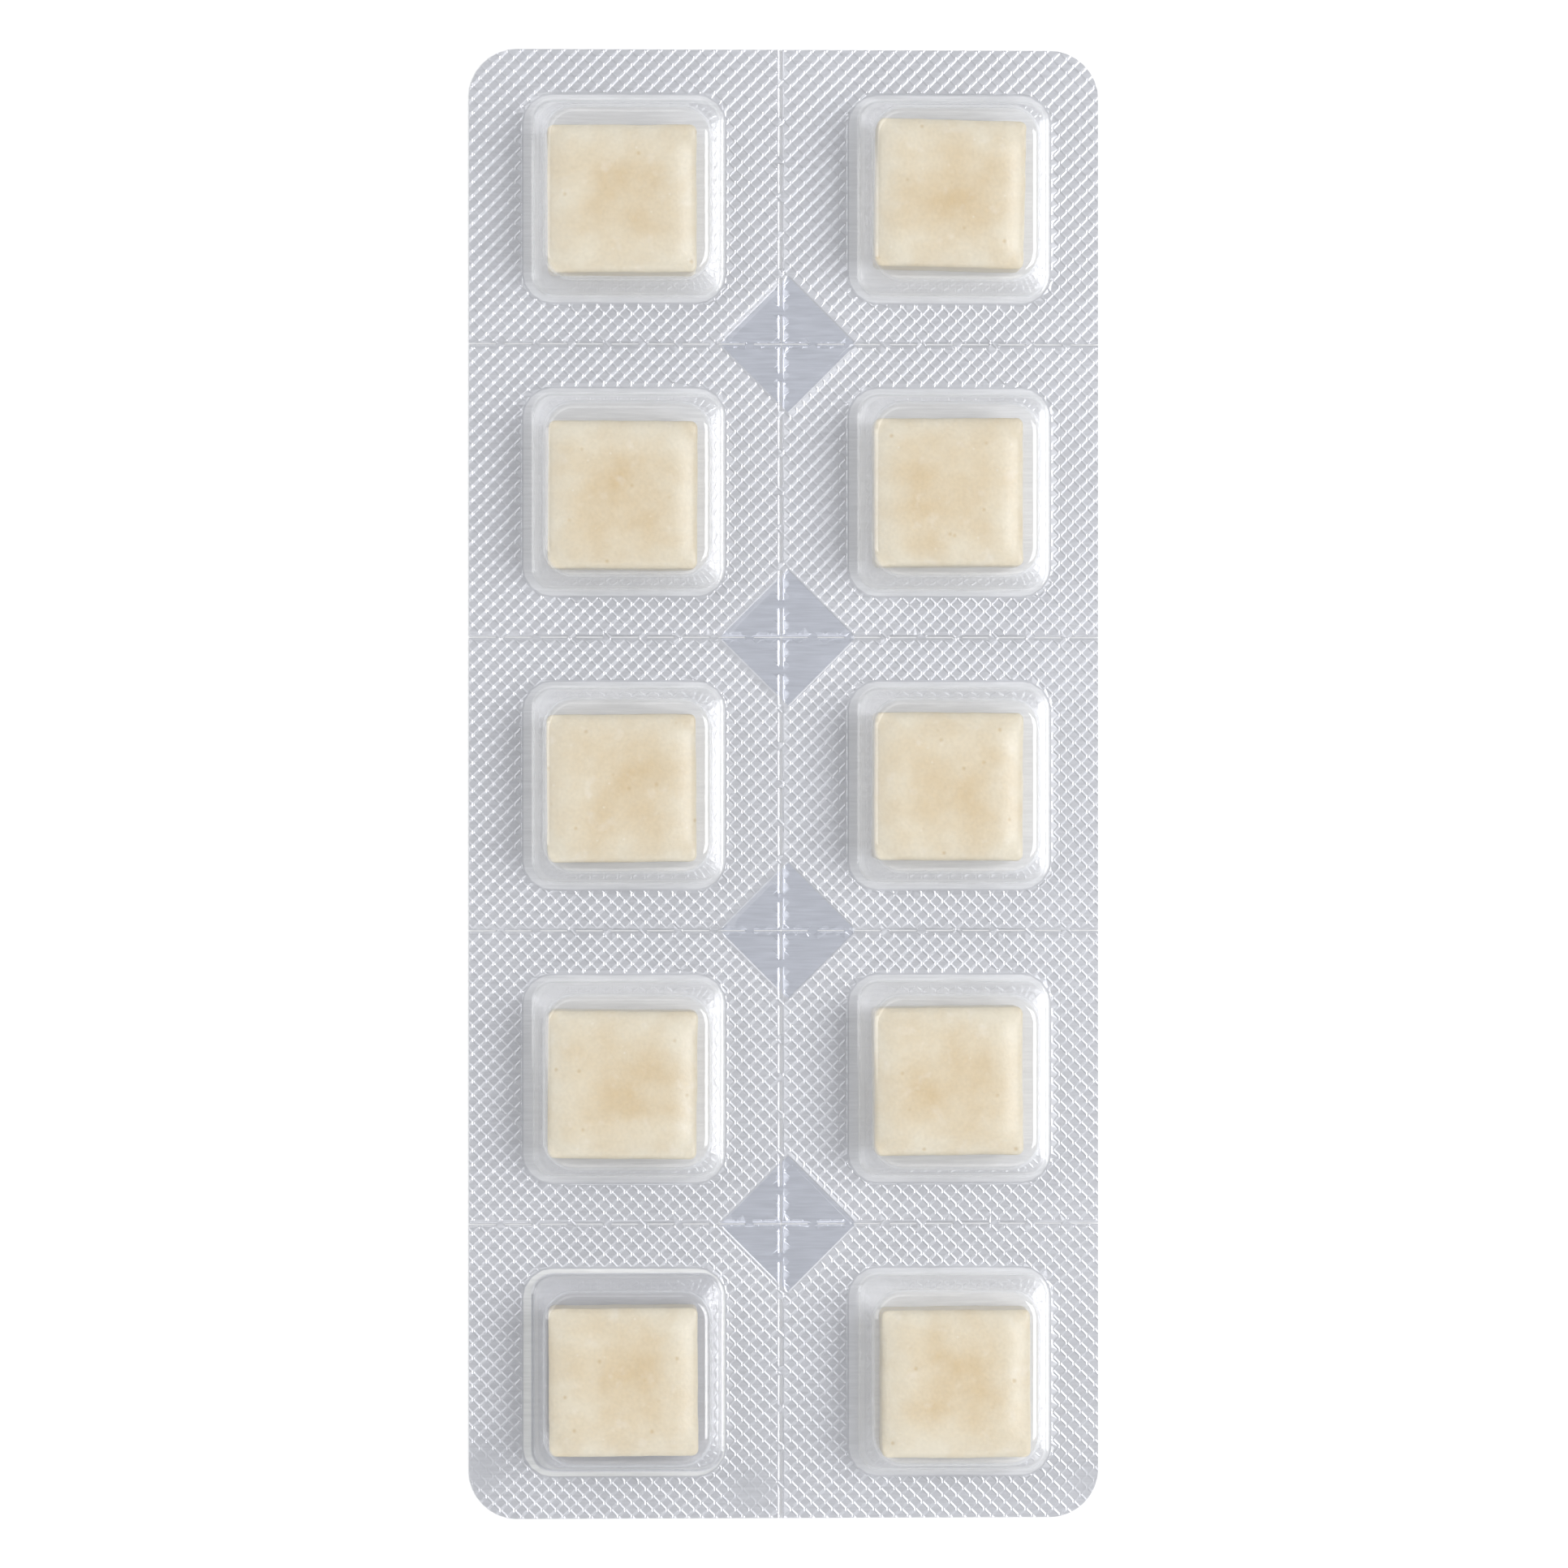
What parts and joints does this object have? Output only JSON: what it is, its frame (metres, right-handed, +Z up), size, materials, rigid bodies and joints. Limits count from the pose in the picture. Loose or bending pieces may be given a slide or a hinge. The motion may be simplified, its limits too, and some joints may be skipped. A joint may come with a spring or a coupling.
{
  "type": "nicotine gum pack",
  "caption": "Flat blister card of clear formed film on foil, with square pieces of gum in its pockets, slit tear lines and diamond peel tabs.",
  "frame": {"origin": "middle of the card's underside, where the foil lies on the table", "axes": "+X to the right across the two columns, +Y along the card towards row 1, +Z up out of the pockets"},
  "size_m": [0.0644, 0.1502, 0.0075],
  "materials": {
    "clear_film": "clear, glossy thermoformed film",
    "foil": "bright rolled foil, knurled where it is sealed",
    "gum": "cream coloured, softly mottled"
  },
  "bodies": {
    "root": {"formed_film": "clear_film", "lidding_foil": "foil", "gum_row1_left": "gum", "gum_row1_right": "gum", "gum_row2_left": "gum", "gum_row2_right": "gum", "gum_row3_left": "gum", "gum_row3_right": "gum", "gum_row4_left": "gum", "gum_row4_right": "gum", "gum_row5_left": "gum", "gum_row5_right": "gum"}
  },
  "joints": []
}
